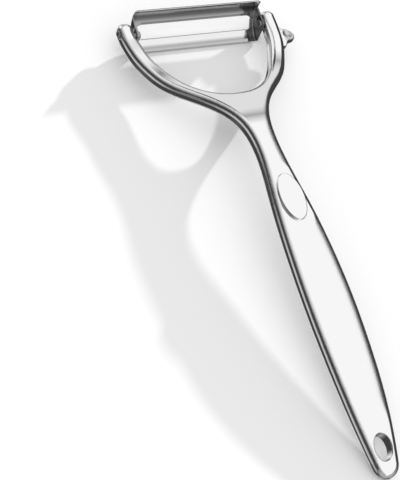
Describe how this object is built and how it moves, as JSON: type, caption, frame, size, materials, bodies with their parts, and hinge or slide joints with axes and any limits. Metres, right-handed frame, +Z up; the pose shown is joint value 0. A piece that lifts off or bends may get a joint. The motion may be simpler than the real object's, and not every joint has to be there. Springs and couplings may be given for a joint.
{
  "type": "vegetable peeler",
  "caption": "Hand-held kitchen peeler with a slim cast handle, a wide U-shaped fork and a slotted blade that swivels between the arms.",
  "frame": {"origin": "middle of the whole peeler's bounding box at its base, the peeler lying on its back", "axes": "+Y from the handle end to the tips of the arms, +Z up out of the front of the handle, +X to the arm with the eye remover"},
  "size_m": [0.0724, 0.1848, 0.0184],
  "materials": {
    "casting": "polished chrome plate on a zinc casting",
    "blade_steel": "bright rolled stainless sheet with ground edges",
    "pin_steel": "plain stainless"
  },
  "bodies": {
    "casting": {"handle": "casting", "pivot_pin_left": "pin_steel", "pivot_pin_right": "pin_steel"},
    "swivel_blade": {"blade": "blade_steel"}
  },
  "joints": [
    {"name": "blade_swivel", "type": "hinge", "parent": "casting", "child": "swivel_blade", "pos_m": [-0.00265, 0.08547, 0.00794], "axis": [1, 0, 0], "range_deg": [-25, 30]}
  ]
}
